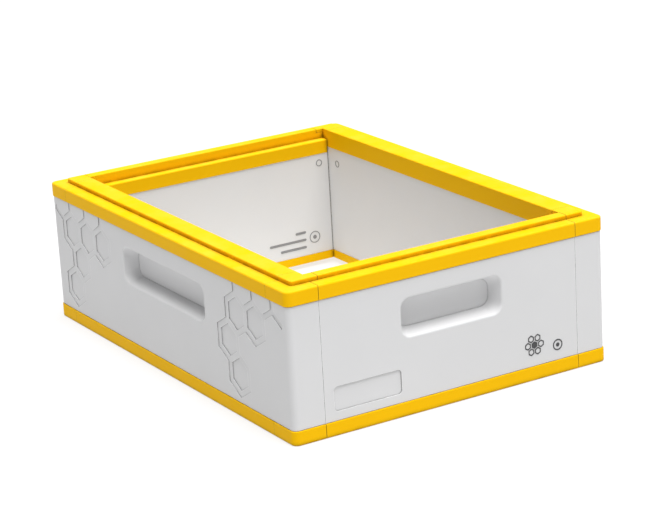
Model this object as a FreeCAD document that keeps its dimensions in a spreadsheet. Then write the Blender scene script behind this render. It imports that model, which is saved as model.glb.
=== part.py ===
import FreeCAD, Part
import math
import os

# A foam-cored, knock-down hive box for hanging frames, open at the top and the bottom.
# Row frame: X across the width, Y along the length, Z up, origin at the middle of the base. Millimetres.

os.makedirs("parts", exist_ok=True)
doc = FreeCAD.newDocument("hive_box")
sheet = doc.addObject("Spreadsheet::Sheet", "Sizes")

DIMENSIONS = [
    ("box_width", 396.0),          # outside, across the end faces
    ("box_length", 544.0),         # outside, along the long sides
    ("pitch", 165.0),              # base to ledge: what one box adds to a stack
    ("ridge", 5.0),                # ridge above the ledge
    ("recess", 5.5),               # step under the base that the ridge below enters
    ("ledge", 15.5),               # width of the ledge outside the ridge
    ("foot", 15.0),                # width of the foot that stands on the ledge below
    ("side_wall", 38.0),           # long wall, outside to rail's inner face
    ("end_wall", 39.0),            # end wall, outside to frame rest's inner face
    ("rest_depth", 10.0),          # how far a frame lug overlaps its rest
    ("rest_drop", 12.0),           # frame rest below the ridge top
    ("wall", 2.5),                 # thickness of the moulded rails
    ("outer_skirt", 16.0),         # height of the rails' outer skirts
    ("side_skirt_base", 148.5),    # lower edge of the side rails' inner skirt
    ("end_skirt_base", 141.5),     # lower edge of the end rails' inner skirt
    ("base_skirt_top", 15.5),      # upper edge of the bottom rails' inner skirt
    ("rib", 14.5),                 # how far a rail's rib goes into the foam
    ("corner_round", 7.5),         # plan radius of the rails' outer corner
    ("ridge_round", 3.0),          # plan radius of the ridge's and the ribs' outer corner
    ("rib_round", 0.5),            # plan radius of the ribs' inner corner
    ("ledge_round", 2.0),          # rounding of the ledge's outer edge and the foot's
    ("ridge_top_round", 1.2),      # rounding of the ridge's upper edges
    ("rest_round", 1.6),           # rounding of the frame rest's front edge
    ("skirt_round", 0.8),          # rounding of the skirts' edges beside the skins
    ("end_leg", 38.0),             # corner piece along the end
    ("side_leg", 41.0),            # corner piece along the side
    ("seam", 0.7),                 # gap between neighbouring rail pieces
    ("tongue", 9.0),               # ridge tongue of two of the corner pieces
    ("tongue_base", 0.2),          # floor of the space for the tongue, above the ledge
    ("tongue_gap", 0.4),           # gap under the tongue
    ("proud", 1.0),                # rails stand out from the outer skins
    ("skin", 3.0),                 # outer skin thickness
    ("skin_round", 0.8),           # rounding of the skins' upper and lower edges
    ("skin_seam", 0.4),            # gap between neighbouring skins
    ("tuck", 1.8),                 # step inwards where a skin goes behind a rail
    ("skin_end", 6.0),             # a skin's hidden edges stop this far from the box's base and ledge
    ("liner", 2.0),                # inner liner thickness
    ("liner_proud", 0.8),          # rails stand out from the liners
    ("liner_gap", 0.2),            # gap at a liner's ends
    ("liner_foot_gap", 0.5),       # gap under a liner
    ("side_liner_rise", 12.0),     # how far a side liner goes up behind the rail's skirt
    ("end_liner_rise", 9.0),
    ("grip_height", 45.0),         # hand-hold mouth
    ("side_grip", 190.0),
    ("end_grip", 128.0),
    ("grip_centre", 107.0),        # height of the hand-holds' middle
    ("grip_depth", 17.0),
    ("grip_taper", 6.0),
    ("grip_wall", 2.5),
    ("tub_start", 0.5),            # a hand-hold's tub begins this far inside the skin's face
    ("hollow_lead", 3.0),          # the tools for its hollow and its pocket begin outside the face
    ("pocket_lead", 6.0),
    ("mouth_margin", 4.0),         # a mouth's edges lie within this much of its nominal size
    ("grip_round", 12.0),          # rounding of a hand-hold's slanting corners
    ("lip_round", 2.5),            # rounding of a hand-hold's mouth
    ("cell_pitch", 38.7),          # honeycomb relief
    ("cell_size", 32.0),           # across the flats of a pocket
    ("root_three", 1.7320508),     # across the flats of a six-sided cell over the length of one side
    ("cell_row", 114.6),           # height of the first row of cells
    ("cell_start", 224.5),         # first column of cells
    ("web_depth", 0.9),
    ("pocket_depth", 1.9),
    ("relief_lead", 2.0),          # relief tools begin this far outside the skin
    ("relief_end", 8.0),           # the relief stops this far from the box's ends
    ("label_length", 82.0),        # recess for a label on each end
    ("label_height", 27.0),
    ("label_centre", 107.0),
    ("label_level", 39.8),
    ("label_depth", 1.2),
    ("label_round", 4.5),
    ("core_joint", 37.0),          # where the side cores end and the end cores begin
    ("fit", 0.3),                  # gap all round between the foam and the plastic
    ("key_neck", 12.0),            # vertical dovetail between side and end cores
    ("key_tip", 18.0),
    ("key_depth", 12.0),
    ("key_root", 0.5),             # how far a key starts inside its own core
    ("key_end", 6.0),              # a key's ends, from the steps in the foam
    ("foam_ease", 2.0),            # how much rounder the foam's corner is than the skin's inside
    ("past", 1.0),                 # how far a cutting block passes the face it cuts
]
for row, (alias, value) in enumerate(DIMENSIONS, start=1):
    sheet.set("A%d" % row, alias)
    sheet.set("B%d" % row, str(value))
    sheet.setAlias("B%d" % row, alias)
doc.recompute()


def size(text):
    """Value in millimetres of an expression in the sheet's names, such as 'box_width / 2 - wall'."""
    probe = doc.getObject("Probe") or doc.addObject("App::FeaturePython", "Probe")
    if "Value" not in probe.PropertiesList:
        probe.addProperty("App::PropertyFloat", "Value")
    probe.setExpression("Value", cells(text))
    probe.recompute()
    return probe.Value


def cells(text):
    """The same expression with each name turned into a reference to its cell."""
    words = text.replace("(", " ( ").replace(")", " ) ").split()
    names = [alias for alias, value in DIMENSIONS]
    return " ".join("Sizes." + word if word in names else word for word in words)


def box(name, x, y, z):
    """A block from three pairs of expressions: (low, high) along X, Y and Z."""
    item = doc.addObject("Part::Box", name)
    for side, (low, high) in zip(("Length", "Width", "Height"), (x, y, z)):
        item.setExpression(side, cells("( %s ) - ( %s )" % (high, low)))
    for axis, (low, high) in zip("xyz", (x, y, z)):
        item.setExpression("Placement.Base." + axis, cells(low))
    return item


SAME = 0.01          # two lengths this close count as equal
SHORTEST_EDGE = 0.5  # shorter edges are never rounded


def runs_along(axis):
    """A test for the straight edges that run along one axis."""
    def test(edge):
        lengths = {name: getattr(edge.BoundBox, name + "Length") for name in "XYZ"}
        return lengths.pop(axis) > SHORTEST_EDGE and max(lengths.values()) < SAME

    return test


def rounded(name, item, radius, test):
    """The item with every edge that passes the test rounded to a radius, itself an expression."""
    item.recompute(True)
    reach = size(radius)
    result = doc.addObject("Part::Fillet", name)
    result.Base = item
    result.Edges = [(number, reach, reach)
                    for number, edge in enumerate(item.Shape.Edges, start=1) if test(edge)]
    return result


def plan_block(name, off_x, off_y, z, radius=None):
    """A block inset from the outside of the box by off_x and off_y, with rounded upright corners."""
    half_x = "box_width / 2 - ( %s )" % off_x
    half_y = "box_length / 2 - ( %s )" % off_y
    block = box(name, ("0 - ( %s )" % half_x, half_x), ("0 - ( %s )" % half_y, half_y), z)
    if radius:
        block = rounded(name + "Round", block, radius, runs_along("Z"))
    return block


def cut(name, base, tool):
    result = doc.addObject("Part::Cut", name)
    result.Base = base
    result.Tool = tool
    return result


def fuse(name, items):
    result = doc.addObject("Part::MultiFuse", name)
    result.Shapes = items
    result.Refine = True
    return result


def common(name, first, second):
    result = doc.addObject("Part::MultiCommon", name)
    result.Shapes = [first, second]
    return result


def band(name, outer, inner, z, outer_radius=None, inner_radius=None):
    """A frame-shaped band between two insets from the outside, each one expression or an (x, y) pair."""
    outer_x, outer_y = outer if isinstance(outer, tuple) else (outer, outer)
    inner_x, inner_y = inner if isinstance(inner, tuple) else (inner, inner)
    solid = plan_block(name + "Out", outer_x, outer_y, z, outer_radius)
    through = ("( %s ) - past" % z[0], "( %s ) + past" % z[1])
    hole = plan_block(name + "In", inner_x, inner_y, through, inner_radius)
    return cut(name, solid, hole)


UPWARD = FreeCAD.Vector(0, 0, 1)


def turned(name, label, source):
    """The same piece on the opposite side of the box: half a turn about Z."""
    result = doc.addObject("Part::Compound", name)
    result.Links = [source]
    result.Placement.Rotation = FreeCAD.Rotation(UPWARD, 180)
    result.Label = label
    return result


kept = []


def keep(item, label, twin_label):
    """Keeps a finished piece and its twin on the opposite side."""
    item.Label = label
    kept.append(item)
    kept.append(turned(item.Name + "Twin", twin_label, item))


WALL_INSIDE_ROUND = "corner_round - wall"
RIDGE_TOP = "( pitch + ridge )"
REST_LEVEL = "( pitch + ridge - rest_drop )"
REST_BACK = "( end_wall - rest_depth )"
INNER = ("side_wall", "end_wall")


def on_ring(level, inset, spread=0.0):
    """A test for a ring's level edges at a height and a distance in from the outside of the box."""
    height, near = size(level), size(inset)
    half_width, half_length = size("box_width / 2"), size("box_length / 2")

    def test(edge):
        middle = edge.valueAt((edge.FirstParameter + edge.LastParameter) / 2)
        depth = min(half_width - abs(middle.x), half_length - abs(middle.y))
        is_level = edge.BoundBox.ZLength < SAME and abs(middle.z - height) < SAME
        return is_level and near - SAME < depth < near + spread + SAME

    return test


# Top ring, first as one frame: outer skirt, ledge, ridge with its rib, inner skirts and frame rests.
top_ring = fuse("TopRing", [
    band("TopSkirt", "0", "wall", ("pitch - outer_skirt", "pitch"), "corner_round", WALL_INSIDE_ROUND),
    band("TopLedge", "0", "ledge + wall", ("pitch - wall", "pitch"), "corner_round"),
    band("TopRib", "ledge", "ledge + wall", ("pitch - wall - rib", RIDGE_TOP), "ridge_round", "rib_round"),
    band("RidgePlate", "ledge", ("side_wall", REST_BACK), (RIDGE_TOP + " - wall", RIDGE_TOP),
         "ridge_round"),
    band("RebateWall", ("side_wall - wall", REST_BACK + " - wall"), ("side_wall", REST_BACK),
         (REST_LEVEL + " - wall", RIDGE_TOP)),
    band("SideSkirt", ("side_wall - wall", "end_wall - wall"), INNER, ("side_skirt_base", REST_LEVEL)),
    band("RestPlate", ("side_wall - wall", REST_BACK + " - wall"), INNER, (REST_LEVEL + " - wall", REST_LEVEL)),
    box("FrontSkirt", ("side_wall - box_width / 2", "box_width / 2 - side_wall"),
        ("end_wall - wall - box_length / 2", "end_wall - box_length / 2"), ("end_skirt_base", REST_LEVEL)),
    box("BackSkirt", ("side_wall - box_width / 2", "box_width / 2 - side_wall"),
        ("box_length / 2 - end_wall", "box_length / 2 - end_wall + wall"), ("end_skirt_base", REST_LEVEL)),
])

CORNER_SWING = 2.5  # how much further in the middle of a rounded corner lies than its straights
for name, radius, test in [
        ("TopLedgeEased", "ledge_round", on_ring("pitch", "0", CORNER_SWING)),
        ("TopRidgeEased", "ridge_top_round", on_ring(RIDGE_TOP, "ledge", CORNER_SWING)),
        ("TopSideEased", "ridge_top_round", on_ring(RIDGE_TOP, "side_wall")),
        ("TopEndEased", "ridge_top_round", on_ring(RIDGE_TOP, REST_BACK)),
        ("TopRestEased", "rest_round", on_ring(REST_LEVEL, "end_wall")),
        ("TopSkirtEased", "skirt_round", on_ring("pitch - outer_skirt", "0", CORNER_SWING))]:
    top_ring = rounded(name, top_ring, radius, test)

# Bottom ring: outer skirt, foot, the step for the ridge of the box below, its rib and the inner skirt.
bottom_ring = fuse("BottomRing", [
    band("BaseSkirt", "0", "wall", ("0", "outer_skirt"), "corner_round", WALL_INSIDE_ROUND),
    band("BaseFoot", "0", "foot", ("0", "wall"), "corner_round", "rib_round"),
    band("BaseRib", "foot - wall", "foot", ("0", "wall + rib"), "ridge_round", "rib_round"),
    band("BaseStep", "foot - wall", INNER, ("recess", "recess + wall"), "ridge_round"),
    band("BaseInner", ("side_wall - wall", "end_wall - wall"), INNER, ("recess", "base_skirt_top")),
])

for name, radius, level in [
        ("BaseFootEased", "ledge_round", "0"),
        ("BaseSkirtEased", "skirt_round", "outer_skirt")]:
    bottom_ring = rounded(name, bottom_ring, radius, on_ring(level, "0", CORNER_SWING))

# The rings are moulded as straight rails and L-shaped corner pieces with a small gap at every seam.

def west(inset):
    """Place along X that lies an inset in from the box's left face."""
    return "( %s ) - box_width / 2" % inset


def south(inset):
    """Place along Y that lies an inset in from the box's front face."""
    return "( %s ) - box_length / 2" % inset


def north(inset):
    """Place along Y that lies an inset in from the box's back face."""
    return "box_length / 2 - ( %s )" % inset


def across(inset):
    """A run along X between the same insets from both long sides."""
    return west(inset), "box_width / 2 - ( %s )" % inset


OUTSIDE = "0 - past"
EVERY_HEIGHT = ("0 - past", RIDGE_TOP + " + past")
CORNER_X = (west(OUTSIDE), west("end_leg - seam / 2"))
side_zone = box("SideZone", (west(OUTSIDE), west("side_wall")),
                (south("side_leg + seam / 4"), north("side_leg + seam / 4")), EVERY_HEIGHT)
end_zone = box("EndZone", across("end_leg + seam / 2"), (south(OUTSIDE), south("end_wall")), EVERY_HEIGHT)
corner_zone = box("CornerZone", CORNER_X, (south(OUTSIDE), south("side_leg - seam / 4")), EVERY_HEIGHT)
far_corner_zone = box("FarCornerZone", CORNER_X, (north("side_leg - seam / 4"), north(OUTSIDE)), EVERY_HEIGHT)
tongue_space = box("TongueSpace", (west("end_leg - past"), west("end_leg + tongue + seam / 2")),
                   (south("ledge - past"), south(REST_BACK + " + past")),
                   ("pitch + tongue_base", RIDGE_TOP + " + past"))
tongue_zone = box("TongueZone", (west("end_leg - 2 * past"), west("end_leg + tongue - seam / 2")),
                  (south("ledge - past"), south(REST_BACK)),
                  ("pitch + tongue_base + tongue_gap", RIDGE_TOP + " + past"))

keep(common("TopSideRail", top_ring, side_zone), "top_side_rail_left", "top_side_rail_right")
keep(cut("TopEndRail", common("TopEndWhole", top_ring, end_zone), tongue_space),
     "top_end_rail_front", "top_end_rail_back")
keep(common("TopTongueCorner", top_ring, fuse("TongueCornerZone", [corner_zone, tongue_zone])),
     "top_corner_front_left", "top_corner_back_right")
keep(common("TopPlainCorner", top_ring, far_corner_zone), "top_corner_back_left", "top_corner_front_right")
keep(common("BaseSideRail", bottom_ring, side_zone), "bottom_side_rail_left", "bottom_side_rail_right")
keep(common("BaseEndRail", bottom_ring, end_zone), "bottom_end_rail_front", "bottom_end_rail_back")
keep(common("BaseFrontCorner", bottom_ring, corner_zone),
     "bottom_corner_front_left", "bottom_corner_back_right")
keep(common("BaseBackCorner", bottom_ring, far_corner_zone),
     "bottom_corner_back_left", "bottom_corner_front_right")

# Outer skins: flat sheet with a step inwards at the top and bottom, so the edges tuck behind the rails.
SKIN_LOW = "outer_skirt"
SKIN_HIGH = "( pitch - outer_skirt )"
BURIED = "( proud + tuck )"
FOAM_MAIN = "( proud + skin )"
FOAM_TUCK = "( proud + tuck + skin )"
MAIN_ROUNDS = ("corner_round - proud", "corner_round - proud - skin")
STEP_ROUNDS = ("corner_round - proud", "corner_round - proud - tuck - skin")
TUCK_ROUNDS = ("corner_round - proud - tuck", "corner_round - proud - tuck - skin")
skin_ring = fuse("SkinRing", [
    band("SkinMain", "proud", FOAM_MAIN, (SKIN_LOW, SKIN_HIGH), *MAIN_ROUNDS),
    band("SkinLowStep", "proud", FOAM_TUCK, (SKIN_LOW, SKIN_LOW + " + skin"), *STEP_ROUNDS),
    band("SkinHighStep", "proud", FOAM_TUCK, (SKIN_HIGH + " - skin", SKIN_HIGH), *STEP_ROUNDS),
    band("SkinLowEdge", BURIED, FOAM_TUCK, ("skin_end", SKIN_LOW + " + past"), *TUCK_ROUNDS),
    band("SkinHighEdge", BURIED, FOAM_TUCK, (SKIN_HIGH + " - past", "pitch - skin_end"), *TUCK_ROUNDS),
])
for name, level in (("SkinHighEased", SKIN_HIGH), ("SkinLowEased", SKIN_LOW)):
    skin_ring = rounded(name, skin_ring, "skin_round", on_ring(level, "proud", CORNER_SWING))


def shaped(item, sides):
    """Binds an object's named sizes to expressions."""
    for side, text in sides.items():
        item.setExpression(side, cells(text))
    return item


def grip_solid(name, length, grow, start, depth):
    """A tapered tub for a hand-hold: Y runs into the wall, and its wide mouth lies at start."""
    half_length = "( %s / 2 + %s )" % (length, grow)
    half_height = "( grip_height / 2 + %s )" % grow
    taper = "grip_taper * ( %s - ( %s ) ) / grip_depth" % (depth, start)
    item = shaped(doc.addObject("Part::Wedge", name), {
        "Ymin": start, "Ymax": depth,
        "Xmin": "0 - " + half_length, "Xmax": half_length,
        "X2min": taper + " - " + half_length, "X2max": half_length + " - " + taper,
        "Zmin": "0 - " + half_height, "Zmax": half_height,
        "Z2min": taper + " - " + half_height, "Z2max": half_height + " - " + taper,
    })
    half_way = size("( %s - ( %s ) ) / 2" % (depth, start))
    return rounded(name + "Round", item, "grip_round", lambda edge: edge.BoundBox.YLength > half_way)


def placed(item, x, y, z, turn):
    """The item turned about Z and moved to a point given by three expressions."""
    holder = doc.addObject("Part::Compound", item.Name + "Placed")
    holder.Links = [item]
    holder.Placement.Rotation = FreeCAD.Rotation(UPWARD, turn)
    return shaped(holder, {"Placement.Base.x": x, "Placement.Base.y": y, "Placement.Base.z": z})


def grip_tools(name, length, x, y, turn):
    """The tub's outside, its hollow and the foam's pocket for it, as placed tools."""
    tub_end = "( grip_depth + grip_wall )"
    pocket_end = "( grip_depth + grip_wall + fit )"
    solids = (grip_solid(name + "Tub", length, "grip_wall", "tub_start", tub_end),
              grip_solid(name + "Hollow", length, "0", "0 - hollow_lead", "grip_depth"),
              grip_solid(name + "Pocket", length, "grip_wall + fit", "0 - pocket_lead", pocket_end))
    return [placed(item, x, y, "grip_centre", turn) for item in solids]


SIDE_FACE = west("proud")
END_FACE = south("proud")
side_tub, side_hollow, side_pocket = grip_tools("SideGrip", "side_grip", SIDE_FACE, "0", -90)
end_tub, end_hollow, end_pocket = grip_tools("EndGrip", "end_grip", "0", END_FACE, 0)


def round_mouth(face_axis, long_axis, face, length):
    """A test for the edges round a hand-hold's mouth, which lie in a skin's outer face."""
    level = size(face)
    half_length = size(length + " / 2 + mouth_margin")
    low = size("grip_centre - grip_height / 2 - mouth_margin")
    high = size("grip_centre + grip_height / 2 + mouth_margin")

    def test(edge):
        bounds = edge.BoundBox
        near, far = (getattr(bounds, face_axis + end) for end in ("Min", "Max"))
        ends = (getattr(bounds, long_axis + end) for end in ("Min", "Max"))
        in_face = max(abs(near - level), abs(far - level)) < SAME
        return in_face and max(map(abs, ends)) < half_length and low < bounds.ZMin and bounds.ZMax < high

    return test


ROW_STEP = "cell_pitch * root_three / 2"
RELIEF_START = west("proud - relief_lead")


def at_lattice(item, column, row):
    """Puts a relief tool at a point of the honeycomb, counted in columns and rows."""
    return shaped(item, {"Placement.Base.x": RELIEF_START,
                         "Placement.Base.y": "cell_start - cell_pitch * ( %s )" % column,
                         "Placement.Base.z": "cell_row - %s * ( %s )" % (ROW_STEP, row)})


def cell(name, width, column, row, depth):
    """A six-sided relief cell in the long side, with a corner upwards."""
    item = doc.addObject("Part::Prism", name)
    item.Polygon = 6
    item.Placement.Rotation = FreeCAD.Rotation(FreeCAD.Vector(0, 1, 0), 90)
    shaped(item, {"Circumradius": width + " / root_three", "Height": depth + " + relief_lead"})
    return at_lattice(item, column, row)


def web(name, column, row, angle, length):
    """A straight groove of the relief from a corner of the lattice, at an angle from straight up."""
    item = shaped(doc.addObject("Part::Box", name),
                  {"Length": "web_depth + relief_lead", "Width": "cell_pitch - cell_size", "Height": length})
    item.Placement.Rotation = FreeCAD.Rotation(FreeCAD.Vector(1, 0, 0), angle)
    back_y = "( cell_pitch - cell_size ) / 2 * ( %.6f )" % math.cos(math.radians(angle))
    back_z = "( cell_pitch - cell_size ) / 2 * ( %.6f )" % math.sin(math.radians(angle))
    return shaped(item, {"Placement.Base.x": RELIEF_START,
                         "Placement.Base.y": "cell_start - cell_pitch * ( %s ) - %s" % (column, back_y),
                         "Placement.Base.z": "cell_row - %s * ( %s ) - %s" % (ROW_STEP, row, back_z)})


# Honeycomb relief: sunk cells, the shallower webs round them and the webs that lead out of the pattern.
SUNK_CELLS = [(0, 0), (1, 0), (2, 0), (0.5, 1), (0, 2), (10, 0), (11, 0), (9.5, 1), (10, 2)]
WEB_COLUMNS = [0, 1, 2, 10, 11, 12]
CORNER_RISE = 2.0 / 3.0  # from a cell's middle to its upper corner, in rows
relief = []
for number, (column, row) in enumerate(SUNK_CELLS):
    relief.append(cell("CellWeb%d" % number, "( cell_pitch * 2 - cell_size )", column, row, "web_depth"))
    relief.append(cell("CellPocket%d" % number, "cell_size", column, row, "pocket_depth"))
for number, column in enumerate(WEB_COLUMNS):
    relief.append(web("WebUp%d" % number, column, -CORNER_RISE, 0, "cell_size"))
for number, (column, row, angle) in enumerate([(-0.5, -CORNER_RISE / 2, -60), (12, -CORNER_RISE, -120),
                                               (12, -CORNER_RISE, 120)]):
    relief.append(web("WebSlant%d" % number, column, row, angle, "cell_pitch / root_three + past"))
relief_field = box("ReliefField", (west("0 - relief_lead"), west("side_wall")),
                   (south("relief_end"), north("relief_end")), (SKIN_LOW, SKIN_HIGH + " + past"))
honeycomb = common("Honeycomb", fuse("HoneycombTools", relief), relief_field)

side_skin_zone = box("SideSkinZone", (west(OUTSIDE), west("end_leg")), (south(OUTSIDE), north(OUTSIDE)),
                     EVERY_HEIGHT)
end_skin_zone = box("EndSkinZone", across("end_leg + skin_seam"), (south(OUTSIDE), "0"), EVERY_HEIGHT)
side_sheet = fuse("SideSheet", [common("SideSheetFlat", skin_ring, side_skin_zone), side_tub])
end_sheet = fuse("EndSheet", [common("EndSheetFlat", skin_ring, end_skin_zone), end_tub])
label_block = box("LabelBlock", ("0 - label_centre - label_length / 2", "label_length / 2 - label_centre"),
                  (south(OUTSIDE), south("proud + label_depth")),
                  ("label_level - label_height / 2", "label_level + label_height / 2"))

label_recess = rounded("LabelRecess", label_block, "label_round", runs_along("Y"))
side_lipped = rounded("SideSkinLipped", cut("SideSkinOpen", side_sheet, side_hollow), "lip_round",
                      round_mouth("X", "Y", SIDE_FACE, "side_grip"))
end_lipped = rounded("EndSkinLipped", cut("EndSkinOpen", end_sheet, end_hollow), "lip_round",
                     round_mouth("Y", "X", END_FACE, "end_grip"))
keep(cut("SideSkin", side_lipped, honeycomb), "side_skin_left", "side_skin_right")
keep(cut("EndSkin", end_lipped, label_recess), "end_skin_front", "end_skin_back")

# Inner liners: the same idea as the skins, thinner, between the rails' inner skirts.
SIDE_LINER = "( side_wall - liner_proud )"
END_LINER = "( end_wall - liner_proud )"
SIDE_BACK = "( side_wall - liner_proud - liner )"
END_BACK = "( end_wall - liner_proud - liner )"
SIDE_TUCK = "( side_wall - wall - fit - liner )"
END_TUCK = "( end_wall - wall - fit - liner )"
LINER_LOW = "base_skirt_top"
LINER_FOOT = "recess + wall + liner_foot_gap"
side_run = (south("end_wall + liner_gap"), north("end_wall + liner_gap"))
end_run = across("side_wall + liner_gap")
keep(fuse("SideLiner", [
    box("SideLinerMain", (west(SIDE_BACK), west(SIDE_LINER)), side_run, (LINER_LOW, "side_skirt_base")),
    box("SideLinerLow", (west(SIDE_TUCK), west(SIDE_LINER)), side_run, (LINER_LOW, LINER_LOW + " + liner")),
    box("SideLinerHigh", (west(SIDE_TUCK), west(SIDE_LINER)), side_run,
        ("side_skirt_base - liner", "side_skirt_base")),
    box("SideLinerFoot", (west(SIDE_TUCK), west(SIDE_TUCK + " + liner")), side_run,
        (LINER_FOOT, LINER_LOW + " + past")),
    box("SideLinerHead", (west(SIDE_TUCK), west(SIDE_TUCK + " + liner")), side_run,
        ("side_skirt_base - past", "side_skirt_base + side_liner_rise")),
]), "side_liner_left", "side_liner_right")
keep(fuse("EndLiner", [
    box("EndLinerMain", end_run, (south(END_BACK), south(END_LINER)), (LINER_LOW, "end_skirt_base")),
    box("EndLinerLow", end_run, (south(END_TUCK), south(END_LINER)), (LINER_LOW, LINER_LOW + " + liner")),
    box("EndLinerHigh", end_run, (south(END_TUCK), south(END_LINER)),
        ("end_skirt_base - liner", "end_skirt_base")),
    box("EndLinerFoot", end_run, (south(END_TUCK), south(END_TUCK + " + liner")),
        (LINER_FOOT, LINER_LOW + " + past")),
    box("EndLinerHead", end_run, (south(END_TUCK), south(END_TUCK + " + liner")),
        ("end_skirt_base - past", "end_skirt_base + end_liner_rise")),
]), "end_liner_front", "end_liner_back")

# Foam cores: moulded blocks that fill the walls, with grooves for the rails' ribs and pockets for the tubs.
HIGH_STEP = "( pitch - outer_skirt - skin )"
LOW_STEP = "( outer_skirt + skin )"
UNDER_LEDGE = "( pitch - wall )"
FOAM_ROUND = "ridge_round + rib_round"
GROOVE_ROUND = "ridge_round + fit"
IN_GROOVE = "foot - wall - fit"
ABOVE = RIDGE_TOP + " + past"
foam_slab = fuse("FoamSlab", [
    plan_block("FoamMain", FOAM_MAIN, FOAM_MAIN, (LOW_STEP, HIGH_STEP), MAIN_ROUNDS[1] + " + foam_ease"),
    plan_block("FoamBetween", FOAM_TUCK, FOAM_TUCK, ("recess + wall", UNDER_LEDGE), FOAM_ROUND),
    plan_block("FoamFoot", FOAM_TUCK, FOAM_TUCK, ("wall", "recess + wall + past"), FOAM_ROUND),
    plan_block("FoamRidge", "ledge + wall + fit", "ledge + wall + fit",
               (UNDER_LEDGE + " - past", RIDGE_TOP + " - wall")),
])
BEHIND_RAIL = ("side_wall - wall - fit", "end_wall - wall - fit")
BEHIND_REST = ("side_wall - wall - fit", REST_BACK + " - wall - fit")
foam_cuts = [
    band("TopGroove", "ledge - fit", "ledge + wall + fit",
         ("pitch - wall - rib - fit", UNDER_LEDGE + " + past"), GROOVE_ROUND),
    band("LowGroove", IN_GROOVE, "foot + fit", ("recess + past", "wall + rib + fit"), GROOVE_ROUND),
    plan_block("FootInside", IN_GROOVE, IN_GROOVE, (OUTSIDE, "recess + wall"), GROOVE_ROUND),
    plan_block("VoidHigh", BEHIND_RAIL[0], BEHIND_RAIL[1], ("side_skirt_base - fit", ABOVE)),
    plan_block("VoidRest", BEHIND_REST[0], BEHIND_REST[1], (REST_LEVEL + " - wall - fit", ABOVE)),
    plan_block("VoidLow", BEHIND_RAIL[0], BEHIND_RAIL[1], (OUTSIDE, "base_skirt_top + fit")),
]
foam_grooved = cut("FoamGrooved", foam_slab, fuse("FoamCuts", foam_cuts))


def dovetail(name, grow, end):
    """An upright key from the left end of the front (end = -1) or back (end = 1) wall into the side core."""
    low = LOW_STEP + " + key_end - " + grow
    high = HIGH_STEP + " - key_end + " + grow
    item = shaped(doc.addObject("Part::Wedge", name), {
        "Ymin": "0 - key_root", "Ymax": "key_depth + " + grow,
        "Xmin": "0 - key_neck / 2 - " + grow, "Xmax": "key_neck / 2 + " + grow,
        "X2min": "0 - key_tip / 2 - " + grow, "X2max": "key_tip / 2 + " + grow,
        "Zmin": low, "Zmax": high, "Z2min": low, "Z2max": high,
    })
    item.Placement.Rotation = FreeCAD.Rotation(UPWARD, 90)
    return shaped(item, {"Placement.Base.x": west("core_joint"),
                         "Placement.Base.y": "( box_length / 2 - end_wall / 2 - proud ) * ( %d )" % end})


# Each side core runs the full length of the box; the end cores stand between them.
side_core_zone = box("SideCoreZone", (west("0"), west("core_joint")), (south("0"), north("0")), EVERY_HEIGHT)
side_void = fuse("SideVoid", [
    plan_block("SideVoidMain", SIDE_BACK, "end_wall", EVERY_HEIGHT),
    plan_block("SideVoidHigh", SIDE_TUCK, "end_wall", ("side_skirt_base - liner", ABOVE)),
    plan_block("SideVoidLow", SIDE_TUCK, "end_wall", (OUTSIDE, "base_skirt_top + liner")),
    dovetail("KeySlotFront", "fit", -1),
    dovetail("KeySlotBack", "fit", 1),
    side_pocket,
])
keep(cut("SideCore", common("SideCoreBlock", foam_grooved, side_core_zone), side_void),
     "side_core_left", "side_core_right")

end_core_zone = box("EndCoreZone", across("core_joint"), (south("0"), south("end_wall")), EVERY_HEIGHT)
end_void = fuse("EndVoid", [
    plan_block("EndVoidMain", "core_joint - past", END_BACK, EVERY_HEIGHT),
    plan_block("EndVoidHigh", "core_joint - past", END_TUCK, ("end_skirt_base - liner", ABOVE)),
    plan_block("EndVoidLow", "core_joint - past", END_TUCK, (OUTSIDE, "base_skirt_top + liner")),
    end_pocket,
])
end_block = cut("EndCoreBlock", common("EndCoreWhole", foam_grooved, end_core_zone), end_void)
left_key = dovetail("KeyLeft", "0", -1)
right_key = doc.addObject("Part::Mirroring", "KeyRight")
right_key.Source = left_key
right_key.Normal = FreeCAD.Vector(1, 0, 0)
keep(fuse("EndCore", [end_block, left_key, right_key]), "end_core_front", "end_core_back")

doc.recompute()
for item in doc.Objects:
    if "Invalid" in item.State or "Error" in item.State:
        raise RuntimeError("%s did not build: %s" % (item.Name, item.State))
for item in kept:
    if item.Shape.isNull() or not item.Shape.isValid() or not item.Shape.Solids:
        raise RuntimeError("%s has no valid solid" % item.Label)
for item in kept:
    item.Shape.exportStep("parts/%s.step" % item.Label)
    print("%-28s %2d solid  %10.0f mm3" % (item.Label, len(item.Shape.Solids), item.Shape.Volume))
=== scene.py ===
import math

import bmesh
import bpy
from mathutils import Matrix, Quaternion, Vector


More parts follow.
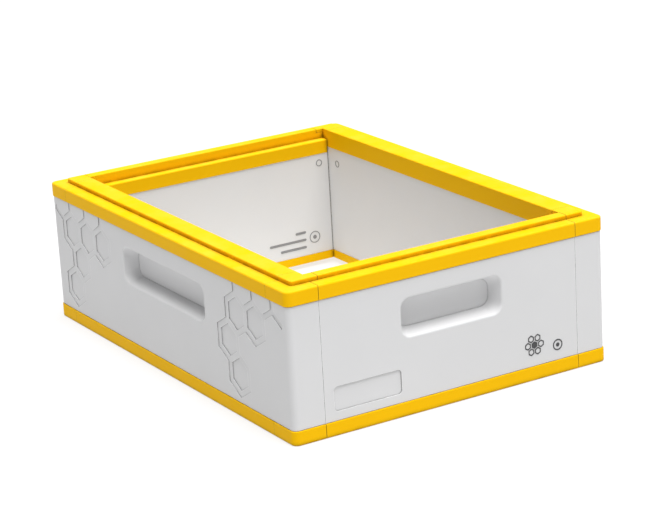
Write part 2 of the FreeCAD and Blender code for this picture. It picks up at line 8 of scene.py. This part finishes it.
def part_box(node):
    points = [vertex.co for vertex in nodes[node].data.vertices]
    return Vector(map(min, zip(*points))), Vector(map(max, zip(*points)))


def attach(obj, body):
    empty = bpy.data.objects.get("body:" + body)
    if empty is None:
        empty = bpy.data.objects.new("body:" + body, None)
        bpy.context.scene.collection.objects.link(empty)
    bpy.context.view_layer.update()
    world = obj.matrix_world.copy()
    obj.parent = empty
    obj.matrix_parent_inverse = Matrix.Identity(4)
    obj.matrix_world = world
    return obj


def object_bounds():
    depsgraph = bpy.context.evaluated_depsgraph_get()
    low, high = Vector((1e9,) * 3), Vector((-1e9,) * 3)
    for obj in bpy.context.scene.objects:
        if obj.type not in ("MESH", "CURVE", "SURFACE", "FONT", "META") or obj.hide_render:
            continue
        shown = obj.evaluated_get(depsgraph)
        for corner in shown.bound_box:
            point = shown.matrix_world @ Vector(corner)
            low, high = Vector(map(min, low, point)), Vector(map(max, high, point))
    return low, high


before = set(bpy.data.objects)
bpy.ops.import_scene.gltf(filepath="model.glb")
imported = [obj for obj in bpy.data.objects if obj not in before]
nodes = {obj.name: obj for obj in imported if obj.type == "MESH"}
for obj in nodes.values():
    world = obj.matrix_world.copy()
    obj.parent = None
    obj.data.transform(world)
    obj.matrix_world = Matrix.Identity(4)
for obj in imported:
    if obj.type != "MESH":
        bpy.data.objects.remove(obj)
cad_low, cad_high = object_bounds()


# ---------------------------------------------------------------- foam cores
# Each wall is filled with a block of expanded polystyrene, steam-moulded from pre-puffed beads.
# The four blocks key into one another at the corners and stay hidden behind the skins and liners.

def add(tree, kind, inputs=(), **settings):
    """Puts a node in a tree; an input takes a number, a colour or another node's output."""
    node = tree.nodes.new("ShaderNode" + kind)
    for setting, value in settings.items():
        setattr(node, setting, value)
    for socket, value in dict(inputs).items():
        if isinstance(value, bpy.types.NodeSocket):
            tree.links.new(value, node.inputs[socket])
        else:
            node.inputs[socket].default_value = value
    return node


def start_group(name, inputs, outputs):
    """Starts a shader node group with named inputs (name: default) and named number outputs."""
    tree = bpy.data.node_groups.new(name, "ShaderNodeTree")
    for socket, value in inputs.items():
        made = tree.interface.new_socket(socket, in_out="INPUT", socket_type="NodeSocketFloat")
        made.default_value = value
    for socket in outputs:
        tree.interface.new_socket(socket, in_out="OUTPUT", socket_type="NodeSocketFloat")
    return tree, tree.nodes.new("NodeGroupInput").outputs, tree.nodes.new("NodeGroupOutput").inputs


def start_material(name):
    """Starts a material and gives it with its empty node tree."""
    material = bpy.data.materials.new(name)
    material.use_nodes = True
    material.node_tree.nodes.clear()
    return material, material.node_tree


def end_material(tree, surface, height=None, depth=0.0):
    """Joins the surface to the output, with a bump of the given depth in metres."""
    if height is not None:
        bump = add(tree, "Bump", {"Height": height, "Distance": depth, "Strength": 1.0})
        tree.links.new(bump.outputs["Normal"], surface.inputs["Normal"])
    output = add(tree, "OutputMaterial")
    tree.links.new(surface.outputs["BSDF"], output.inputs["Surface"])


def mixed(tree, factor, first, second):
    """A colour between two others."""
    mix = tree.nodes.new("ShaderNodeMix")
    mix.data_type = "RGBA"
    for socket, value in ((0, factor), (6, first), (7, second)):
        if isinstance(value, bpy.types.NodeSocket):
            tree.links.new(value, mix.inputs[socket])
        else:
            mix.inputs[socket].default_value = value
    return mix.outputs[2]


def mottle_group():
    """Slow drift of shade over a moulding, from 0 to 1."""
    tree, given, out = start_group("mottle", {"Scale": 12.0, "Contrast": 1.0}, ["Shade"])
    place = add(tree, "TexCoord")
    broad = add(tree, "TexNoise", {"Vector": place.outputs["Object"], "Scale": given["Scale"], "Detail": 4.0})
    centred = add(tree, "Math", {0: broad.outputs["Fac"], 1: 0.5}, operation="SUBTRACT")
    spread = add(tree, "Math", {0: centred.outputs[0], 1: given["Contrast"], 2: 0.5}, operation="MULTIPLY_ADD")
    spread.use_clamp = True
    tree.links.new(spread.outputs[0], out["Shade"])
    return tree


mottle = mottle_group()

FOAM_WHITE = (0.80, 0.80, 0.78, 1.0)
FOAM_SHADE = (0.70, 0.70, 0.67, 1.0)
# Painted shade: the darker colour laid along the seams between beads, where their grooves would be in shade.
FOAM_CREASE_PAINTED_SHADE = (0.52, 0.52, 0.50, 1.0)
FOAM_SHINE = 0.35
BEAD_SIZE = 0.0034
BEAD_UNEVENNESS = 0.85
BEAD_DEPTH = 0.0004


def bead_foam():
    material, tree = start_material("bead_foam")
    place = add(tree, "TexCoord").outputs["Object"]
    packing = {"Vector": place, "Scale": 1.0 / BEAD_SIZE, "Randomness": BEAD_UNEVENNESS}
    beads = add(tree, "TexVoronoi", packing, feature="SMOOTH_F1")
    seams = add(tree, "TexVoronoi", packing, feature="DISTANCE_TO_EDGE")
    # Painted shade in the creases between beads, darker towards each bead's edge.
    crease_painted_shade = add(tree, "MapRange", {"Value": seams.outputs["Distance"], "From Max": 0.12, "To Min": 1.0,
                                    "To Max": 0.0})
    drift = add(tree, "Group", node_tree=mottle)
    shade = mixed(tree, drift.outputs["Shade"], FOAM_WHITE, FOAM_SHADE)
    colour = mixed(tree, crease_painted_shade.outputs["Result"], shade, FOAM_CREASE_PAINTED_SHADE)
    rough = add(tree, "MapRange", {"Value": beads.outputs["Distance"], "To Min": 0.55, "To Max": 0.8})
    surface = add(tree, "BsdfPrincipled", {"Base Color": colour, "Roughness": rough.outputs["Result"],
                                           "Specular IOR Level": FOAM_SHINE})
    height = add(tree, "Math", {0: 1.0, 1: beads.outputs["Distance"]}, operation="SUBTRACT")
    end_material(tree, surface, height.outputs[0], BEAD_DEPTH)
    return material


def finish_nodes(names, material):
    """Gives CAD nodes their material."""
    for name in names:
        nodes[name].data.materials.clear()
        nodes[name].data.materials.append(material)


finish_nodes(["side_core_left", "side_core_right", "end_core_front", "end_core_back"], bead_foam())


# ---------------------------------------------------------------- inner liners
# Thin white polypropylene sheets line the walls between the upper and lower rails.
# Their edges step back and tuck behind the rails; small mould marks stand on the inside.

def grain_group():
    """The fine texture of a moulding tool: a height and a change of gloss, from 0 to 1."""
    tree, given, out = start_group("tool_grain", {"Scale": 900.0, "Pebble": 0.5}, ["Height", "Gloss"])
    place = add(tree, "TexCoord").outputs["Object"]
    fine = add(tree, "TexNoise", {"Vector": place, "Scale": given["Scale"], "Detail": 3.0, "Roughness": 0.6})
    pebble = add(tree, "TexVoronoi", {"Vector": place, "Scale": given["Scale"], "Smoothness": 0.6},
                 feature="SMOOTH_F1")
    raised = add(tree, "Math", {0: pebble.outputs["Distance"], 1: given["Pebble"], 2: fine.outputs["Fac"]},
                 operation="MULTIPLY_ADD")
    slow = add(tree, "TexNoise", {"Vector": place, "Scale": 38.0, "Detail": 5.0, "Roughness": 0.65})
    tree.links.new(raised.outputs[0], out["Height"])
    tree.links.new(slow.outputs["Fac"], out["Gloss"])
    return tree


def edge_wear_and_highlight_group():
    """Where handling rubs a moulding, together with a painted highlight on its rounded edges: a mask on its
    outward edges, broken up by noise.
    """
    tree, given, out = start_group("edge_wear_and_highlight", {"Amount": 0.4, "Reach": 0.001}, ["Mask"])
    place = add(tree, "TexCoord").outputs["Object"]
    within = add(tree, "AmbientOcclusion", {"Distance": given["Reach"]}, samples=8, inside=True)
    sharp = add(tree, "MapRange", {"Value": within.outputs["AO"], "From Min": 0.90, "From Max": 0.60,
                                   "To Min": 0.0, "To Max": 1.0})
    broken = add(tree, "TexNoise", {"Vector": place, "Scale": 160.0, "Detail": 6.0, "Roughness": 0.7})
    patchy = add(tree, "MapRange", {"Value": broken.outputs["Fac"], "From Min": 0.36, "From Max": 0.54})
    both = add(tree, "Math", {0: sharp.outputs["Result"], 1: patchy.outputs["Result"]}, operation="MULTIPLY")
    mask = add(tree, "Math", {0: both.outputs[0], 1: given["Amount"]}, operation="MULTIPLY")
    tree.links.new(mask.outputs[0], out["Mask"])
    return tree


def dust_group():
    """Dust that settles on faces that look up, in thin uneven patches."""
    tree, given, out = start_group("settled_dust", {"Amount": 0.15}, ["Mask"])
    place = add(tree, "TexCoord").outputs["Object"]
    facing = add(tree, "SeparateXYZ", {"Vector": add(tree, "NewGeometry").outputs["Normal"]})
    upward = add(tree, "MapRange", {"Value": facing.outputs["Z"], "From Min": 0.35, "From Max": 0.95})
    patches = add(tree, "TexNoise", {"Vector": place, "Scale": 26.0, "Detail": 8.0, "Roughness": 0.75})
    thin = add(tree, "MapRange", {"Value": patches.outputs["Fac"], "From Min": 0.42, "From Max": 0.75})
    both = add(tree, "Math", {0: upward.outputs["Result"], 1: thin.outputs["Result"]}, operation="MULTIPLY")
    mask = add(tree, "Math", {0: both.outputs[0], 1: given["Amount"]}, operation="MULTIPLY")
    tree.links.new(mask.outputs[0], out["Mask"])
    return tree


def painted_shade_group():
    """Painted shade that stays in inward corners and along the foot of every step, found by ambient occlusion."""
    tree, given, out = start_group("painted_corner_shade", {"Amount": 0.5, "Reach": 0.002}, ["Mask"])
    place = add(tree, "TexCoord").outputs["Object"]
    open_sky = add(tree, "AmbientOcclusion", {"Distance": given["Reach"]}, samples=8)
    corner = add(tree, "MapRange", {"Value": open_sky.outputs["AO"], "From Min": 0.92, "From Max": 0.52,
                                    "To Min": 0.0, "To Max": 1.0})
    uneven = add(tree, "TexNoise", {"Vector": place, "Scale": 90.0, "Detail": 5.0, "Roughness": 0.6})
    patchy = add(tree, "MapRange", {"Value": uneven.outputs["Fac"], "From Min": 0.25, "From Max": 0.6,
                                    "To Min": 0.45, "To Max": 1.0})
    both = add(tree, "Math", {0: corner.outputs["Result"], 1: patchy.outputs["Result"]}, operation="MULTIPLY")
    mask = add(tree, "Math", {0: both.outputs[0], 1: given["Amount"]}, operation="MULTIPLY")
    tree.links.new(mask.outputs[0], out["Mask"])
    return tree


tool_grain = grain_group()
edge_wear_and_highlight = edge_wear_and_highlight_group()
settled_dust = dust_group()
painted_corner_shade = painted_shade_group()


PLASTIC_IOR = 1.49
GLOSSIER, DULLER = 0.06, 0.07  # how far the gloss of a moulding drifts either way
DUST_DULLS = 0.5


def moulded_plastic(name, light, dark, rubbed_and_highlight_colour, dusty, corner_shade_colour, roughness, shine, grain_scale, grain_depth,
                    wear_and_highlight, dust, corner_shade_amount, corner_shade_reach):
    """Satin injection-moulded plastic with tool grain, drift of tone, rubbed edges that also carry a painted
    highlight, thin dust, and painted shade in inward corners.
    """
    material, tree = start_material(name)
    drift = add(tree, "Group", {"Scale": 9.0, "Contrast": 1.6}, node_tree=mottle)
    grain = add(tree, "Group", {"Scale": grain_scale, "Pebble": 0.5}, node_tree=tool_grain)
    rub_and_highlight = add(tree, "Group", {"Amount": wear_and_highlight}, node_tree=edge_wear_and_highlight)
    film = add(tree, "Group", {"Amount": dust}, node_tree=settled_dust)
    corner_shade_mask = add(tree, "Group", {"Amount": corner_shade_amount, "Reach": corner_shade_reach}, node_tree=painted_corner_shade)
    colour = mixed(tree, drift.outputs["Shade"], light, dark)
    # Lighter colour on outward edges: partly rubbed wear, partly a painted highlight on the rounded edges.
    colour = mixed(tree, rub_and_highlight.outputs["Mask"], colour, rubbed_and_highlight_colour)
    colour = mixed(tree, film.outputs["Mask"], colour, dusty)
    # Painted shade: inward corners and the foot of every step darkened towards the corner colour.
    colour = mixed(tree, corner_shade_mask.outputs["Mask"], colour, corner_shade_colour)
    gloss = add(tree, "MapRange", {"Value": grain.outputs["Gloss"], "From Min": 0.3, "From Max": 0.7,
                                   "To Min": roughness - GLOSSIER, "To Max": roughness + DULLER})
    dulled = add(tree, "Math", {0: film.outputs["Mask"], 1: DUST_DULLS, 2: gloss.outputs["Result"]},
                 operation="MULTIPLY_ADD")
    surface = add(tree, "BsdfPrincipled", {"Base Color": colour, "Roughness": dulled.outputs[0],
                                           "IOR": PLASTIC_IOR, "Specular IOR Level": shine})
    end_material(tree, surface, grain.outputs["Height"], grain_depth)
    return material


liner_plastic = moulded_plastic("liner_plastic", light=(0.79, 0.79, 0.785, 1.0), dark=(0.76, 0.76, 0.76, 1.0),
                                # The rubbed colour is partly a painted highlight on rounded edges.
                                rubbed_and_highlight_colour=(0.86, 0.86, 0.86, 1.0), dusty=(0.66, 0.63, 0.58, 1.0),
                                # Painted shade: the colour that inward corners and the feet of steps are darkened
                                # towards.
                                corner_shade_colour=(0.20, 0.20, 0.20, 1.0), roughness=0.46, shine=0.25,
                                grain_scale=1400.0, grain_depth=0.00002, wear_and_highlight=0.3, dust=0.08, corner_shade_amount=0.12,
                                corner_shade_reach=0.0022)
finish_nodes(["side_liner_left", "side_liner_right", "end_liner_front", "end_liner_back"], liner_plastic)


# ---------------------------------------------------------------- outer skins
# White polypropylene sheets, injection-moulded with their hand-holds, cover the outside of the walls.
# The side skins turn the corners and carry a sunk honeycomb relief; the end skins fit between them.

skin_plastic = moulded_plastic("skin_plastic", light=(0.715, 0.715, 0.72, 1.0), dark=(0.685, 0.685, 0.69, 1.0),
                               # The rubbed colour is partly a painted highlight on rounded edges.
                               rubbed_and_highlight_colour=(0.93, 0.93, 0.93, 1.0), dusty=(0.62, 0.59, 0.53, 1.0),
                               # Painted shade: the colour that inward corners and the feet of steps are darkened
                               # towards.
                               corner_shade_colour=(0.10, 0.10, 0.10, 1.0), roughness=0.5, shine=0.25,
                               grain_scale=1100.0, grain_depth=0.00006, wear_and_highlight=0.7, dust=0.10, corner_shade_amount=0.62,
                               corner_shade_reach=0.0020)
finish_nodes(["side_skin_left", "side_skin_right", "end_skin_front", "end_skin_back"], skin_plastic)


# ---------------------------------------------------------------- rails
# Yellow rails cap the walls at the top and the base; they are injection-moulded as straight lengths
# and L-shaped corners, and their ribs press into grooves in the foam.

rail_plastic = moulded_plastic("rail_plastic", light=(0.95, 0.535, 0.003, 1.0), dark=(0.915, 0.51, 0.003, 1.0),
                               # The rubbed colour is partly a painted highlight on rounded edges.
                               rubbed_and_highlight_colour=(1.0, 0.68, 0.06, 1.0), dusty=(0.98, 0.72, 0.24, 1.0),
                               # Painted shade: the colour that inward corners and the feet of steps are darkened
                               # towards.
                               corner_shade_colour=(0.26, 0.145, 0.003, 1.0), roughness=0.42, shine=0.03,
                               grain_scale=1200.0, grain_depth=0.00003, wear_and_highlight=0.40, dust=0.16, corner_shade_amount=0.75,
                               corner_shade_reach=0.0065)
finish_nodes([name for name in nodes if name.startswith(("top_", "bottom_"))], rail_plastic)


# ---------------------------------------------------------------- printed marks
# Two small pad-printed marks in dark grey ink sit low on each end skin, near its right-hand edge.
# They are plain shapes: a cluster of open cells, and a ring round a dot.

PRINT_GREY = (0.045, 0.045, 0.048, 1.0)
PRINT_THIN = (0.11, 0.11, 0.115, 1.0)
PRINT_LIFT = 0.00025
CELLS_AT = (0.103, 0.040)
RING_AT = (0.1335, 0.0335)
CELL_ACROSS = 0.0098
CELL_LINE = 0.0013
CELL_SPOTS = [(-0.5, 1.0), (0.5, 1.0), (-1.0, 0.0), (0.0, 0.0), (1.0, 0.0), (-0.5, -1.0), (0.5, -1.0)]
CELL_ROW_RISE = 0.75
SOLID_CELL = (0.0, 0.0)
RING_ACROSS = 0.0125
RING_HOLE = 0.0100
RING_DOT = 0.0045


def printed_ink():
    material, tree = start_material("printed_ink")
    place = add(tree, "TexCoord").outputs["Object"]
    cover = add(tree, "TexNoise", {"Vector": place, "Scale": 700.0, "Detail": 5.0, "Roughness": 0.7})
    thin = add(tree, "MapRange", {"Value": cover.outputs["Fac"], "From Min": 0.5, "From Max": 0.75})
    colour = mixed(tree, thin.outputs["Result"], PRINT_GREY, PRINT_THIN)
    rough = add(tree, "MapRange", {"Value": cover.outputs["Fac"], "To Min": 0.35, "To Max": 0.6})
    surface = add(tree, "BsdfPrincipled", {"Base Color": colour, "Roughness": rough.outputs["Result"]})
    end_material(tree, surface, cover.outputs["Fac"], 0.00001)
    return material


def outline(sides, across, turn=0.0):
    """Corners of a regular figure, as flat (x, z) pairs; across is measured over its corners."""
    return [(across / 2 * math.cos(turn + math.tau * step / sides),
             across / 2 * math.sin(turn + math.tau * step / sides)) for step in range(sides)]


def add_rims(mesh, corners, middle, lift):
    """Two rows of corners: one on the wall and one on the mark's face."""
    return [[mesh.verts.new((x + middle[0], depth, z + middle[1])) for x, z in corners] for depth in (0.0, -lift)]


def add_loop(mesh, outer, inner, middle, lift):
    """A flat raised loop, or a solid patch where inner is None, drawn on the X-Z plane and facing -Y."""
    wall, face = add_rims(mesh, outer, middle, lift)
    steps = [(step, (step + 1) % len(outer)) for step in range(len(outer))]
    for step, after in steps:
        mesh.faces.new((wall[step], wall[after], face[after], face[step]))
    if inner is None:
        mesh.faces.new(face)
        mesh.faces.new(list(reversed(wall)))
        return
    wall_hole, face_hole = add_rims(mesh, inner, middle, lift)
    for step, after in steps:
        mesh.faces.new((wall_hole[after], wall_hole[step], face_hole[step], face_hole[after]))
        mesh.faces.new((face[step], face[after], face_hole[after], face_hole[step]))
        mesh.faces.new((wall[after], wall[step], wall_hole[step], wall_hole[after]))


def place_mark(name, draw, where, material):
    """Makes a mark from a drawing function, moves it to its wall and lets it ride on the box."""
    mesh = bmesh.new()
    draw(mesh)
    mesh.transform(where)
    bmesh.ops.recalc_face_normals(mesh, faces=mesh.faces)
    data = bpy.data.meshes.new(name)
    mesh.to_mesh(data)
    mesh.free()
    data.materials.append(material)
    piece = bpy.data.objects.new(name, data)
    bpy.context.scene.collection.objects.link(piece)
    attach(piece, "root")
    return piece


def draw_cells(mesh):
    """Seven small six-sided cells, the middle one solid, as a loose cluster."""
    step = CELL_ACROSS * math.cos(math.pi / 6)
    across = CELL_ACROSS - CELL_LINE
    for column, row in CELL_SPOTS:
        middle = (CELLS_AT[0] + column * step, CELLS_AT[1] + row * CELL_ACROSS * CELL_ROW_RISE)
        hole = None if (column, row) == SOLID_CELL else outline(6, across - 2 * CELL_LINE, math.pi / 6)
        add_loop(mesh, outline(6, across, math.pi / 6), hole, middle, PRINT_LIFT)


def draw_ring(mesh):
    """A ring round a dot."""
    add_loop(mesh, outline(40, RING_ACROSS), outline(40, RING_HOLE), RING_AT, PRINT_LIFT)
    add_loop(mesh, outline(24, RING_DOT), None, RING_AT, PRINT_LIFT)


HALF_TURN = Matrix.Rotation(math.pi, 4, "Z")
front_face = Matrix.Translation((0.0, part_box("end_skin_front")[0].y, 0.0))
printed = printed_ink()
for end, wall in (("front", front_face), ("back", HALF_TURN @ front_face)):
    place_mark("cell_print_" + end, draw_cells, wall, printed)
    place_mark("ring_print_" + end, draw_ring, wall, printed)


# ---------------------------------------------------------------- mould marks
# Small raised marks stand on the liners, cut into the moulding tool: a ring high in one corner of each
# liner, and on the end liners a larger ring with plain bars beside it, in place of any wording.

MARK_LIFT = 0.0004
MARK_LINE = 0.0009
# Painted shade: the raised marks are of the liner's own plastic, coloured dark grey to stand for the shadow lines
# around them.
MARK_SHADE_DARK = (0.20, 0.20, 0.205, 1.0)
MARK_SHADE_PALE = (0.34, 0.34, 0.34, 1.0)
HIGH_RING_LEVEL = 0.130
HIGH_RING_ACROSS = 0.0085
HIGH_RING_ON_END = 0.1470
HIGH_RING_ON_SIDE = -0.2130
LOW_RING_AT = (0.135, 0.037)
LOW_RING_ACROSS = 0.0150
BAR_HEIGHT = 0.0030
BAR_END_STEPS = 8
BARS = [(0.1075, 0.1225, 0.0455), (0.0700, 0.1225, 0.0360), (0.0850, 0.1225, 0.0265)]


def painted_shade_mark():
    material, tree = start_material("painted_shade_mark")
    place = add(tree, "TexCoord").outputs["Object"]
    unevenness = add(tree, "TexNoise", {"Vector": place, "Scale": 420.0, "Detail": 5.0, "Roughness": 0.65})
    # Painted shade, uneven across each mark.
    colour = mixed(tree, unevenness.outputs["Fac"], MARK_SHADE_DARK, MARK_SHADE_PALE)
    rough = add(tree, "MapRange", {"Value": unevenness.outputs["Fac"], "To Min": 0.4, "To Max": 0.65})
    surface = add(tree, "BsdfPrincipled", {"Base Color": colour, "Roughness": rough.outputs["Result"]})
    end_material(tree, surface, unevenness.outputs["Fac"], 0.00002)
    return material


def rounded_bar(half_length, half_height):
    """Outline of a bar with half-round ends."""
    straight = half_length - half_height
    corners = []
    for end, start in ((1, -math.pi / 2), (-1, math.pi / 2)):
        for step in range(BAR_END_STEPS + 1):
            angle = start + math.pi * step / BAR_END_STEPS
            corners.append((end * straight + half_height * math.cos(angle), half_height * math.sin(angle)))
    return corners


def draw_high_ring(middle_x):
    """A drawing function for the small ring, at a distance along the wall."""
    def draw(mesh):
        add_loop(mesh, outline(32, HIGH_RING_ACROSS), outline(32, HIGH_RING_ACROSS - 2 * MARK_LINE),
                 (middle_x, HIGH_RING_LEVEL), MARK_LIFT)
    return draw


def draw_low_marks(mesh):
    """The larger ring with its dot, and the bars beside it."""
    add_loop(mesh, outline(36, LOW_RING_ACROSS), outline(36, LOW_RING_ACROSS - 2 * MARK_LINE), LOW_RING_AT,
             MARK_LIFT)
    add_loop(mesh, outline(20, LOW_RING_ACROSS / 3), None, LOW_RING_AT, MARK_LIFT)
    for low, high, level in BARS:
        add_loop(mesh, rounded_bar((high - low) / 2, BAR_HEIGHT / 2), None, ((low + high) / 2, level), MARK_LIFT)


mark_shade_material = painted_shade_mark()
back_liner_face = Matrix.Translation((0.0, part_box("end_liner_back")[0].y, 0.0))
right_liner_face = Matrix.Translation((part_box("side_liner_right")[0].x, 0.0, 0.0)) @ Matrix.Rotation(
    -math.pi / 2, 4, "Z")
for side, turn in (("", Matrix.Identity(4)), ("_twin", HALF_TURN)):
    for name, draw, wall in (("high_ring_end", draw_high_ring(HIGH_RING_ON_END), back_liner_face),
                             ("high_ring_side", draw_high_ring(HIGH_RING_ON_SIDE), right_liner_face),
                             ("low_marks_end", draw_low_marks, back_liner_face)):
        place_mark(name + side, draw, turn @ wall, mark_shade_material)


# ---------------------------------------------------------------- floor, light and camera
# The box stands on a wide sheet of pale, faintly lit paper under a large soft light from above.
# The camera looks down on the front left corner.

FLOOR_HALF = 14.0
FLOOR_GAP = 0.0002  # clear of the box's base
FLOOR_LIGHT = (0.22, 0.22, 0.22, 1.0)
FLOOR_DARK = (0.20, 0.20, 0.202, 1.0)
FLOOR_GLOW = 0.74
FLOOR_GLOW_WHITE = (1.0, 1.0, 1.0, 1.0)


def paper():
    material, tree = start_material("pale_paper")
    drift = add(tree, "Group", {"Scale": 2.0, "Contrast": 1.2}, node_tree=mottle)
    colour = mixed(tree, drift.outputs["Shade"], FLOOR_LIGHT, FLOOR_DARK)
    surface = add(tree, "BsdfPrincipled", {"Base Color": colour, "Roughness": 0.9, "Specular IOR Level": 0.1,
                                           "Emission Color": FLOOR_GLOW_WHITE, "Emission Strength": FLOOR_GLOW})
    end_material(tree, surface)
    return material


floor_mesh = bmesh.new()
bmesh.ops.create_grid(floor_mesh, x_segments=8, y_segments=8, size=FLOOR_HALF)
floor_data = bpy.data.meshes.new("floor")
floor_mesh.to_mesh(floor_data)
floor_mesh.free()
floor_data.materials.append(paper())
floor = bpy.data.objects.new("floor", floor_data)
floor.location.z = cad_low.z - FLOOR_GAP
bpy.context.scene.collection.objects.link(floor)

SUN_STRENGTH = 4.9
SUN_SPREAD = math.radians(44)
SUN_FROM = Vector((0.05, -0.19, 1.0))
sun_data = bpy.data.lights.new("overhead_softbox", "SUN")
sun_data.energy = SUN_STRENGTH
sun_data.angle = SUN_SPREAD
sun = bpy.data.objects.new("overhead_softbox", sun_data)
sun.rotation_mode = "QUATERNION"
sun.rotation_quaternion = SUN_FROM.to_track_quat("Z", "Y")
bpy.context.scene.collection.objects.link(sun)

SKY_WHITE = (1.0, 1.0, 1.0, 1.0)
SKY_STRENGTH = 0.24
world = bpy.data.worlds.new("studio")
world.use_nodes = True
background = world.node_tree.nodes["Background"]
background.inputs["Color"].default_value = SKY_WHITE
background.inputs["Strength"].default_value = SKY_STRENGTH
bpy.context.scene.world = world
bpy.context.scene.view_settings.view_transform = "Standard"

CAMERA_TURN = math.radians(30.55)
CAMERA_DROP = math.radians(17.63)
CAMERA_ROLL = math.radians(3.35)
CAMERA_DISTANCE = 2.774
CAMERA_LENS = 134.0
CAMERA_SENSOR = 36.0
AIM_BESIDE_MIDDLE = Vector((0.0147, 0.0006, 0.0))
look_at = (cad_low + cad_high) / 2 + AIM_BESIDE_MIDDLE
direction = Vector((math.sin(CAMERA_TURN) * math.cos(CAMERA_DROP),
                    math.cos(CAMERA_TURN) * math.cos(CAMERA_DROP), -math.sin(CAMERA_DROP)))
camera_data = bpy.data.cameras.new("camera")
camera_data.lens = CAMERA_LENS
camera_data.sensor_width = CAMERA_SENSOR
camera = bpy.data.objects.new("camera", camera_data)
camera.location = look_at - direction * CAMERA_DISTANCE
camera.rotation_mode = "QUATERNION"
camera.rotation_quaternion = Quaternion(direction, CAMERA_ROLL) @ direction.to_track_quat("-Z", "Y")
bpy.context.scene.collection.objects.link(camera)
bpy.context.scene.camera = camera
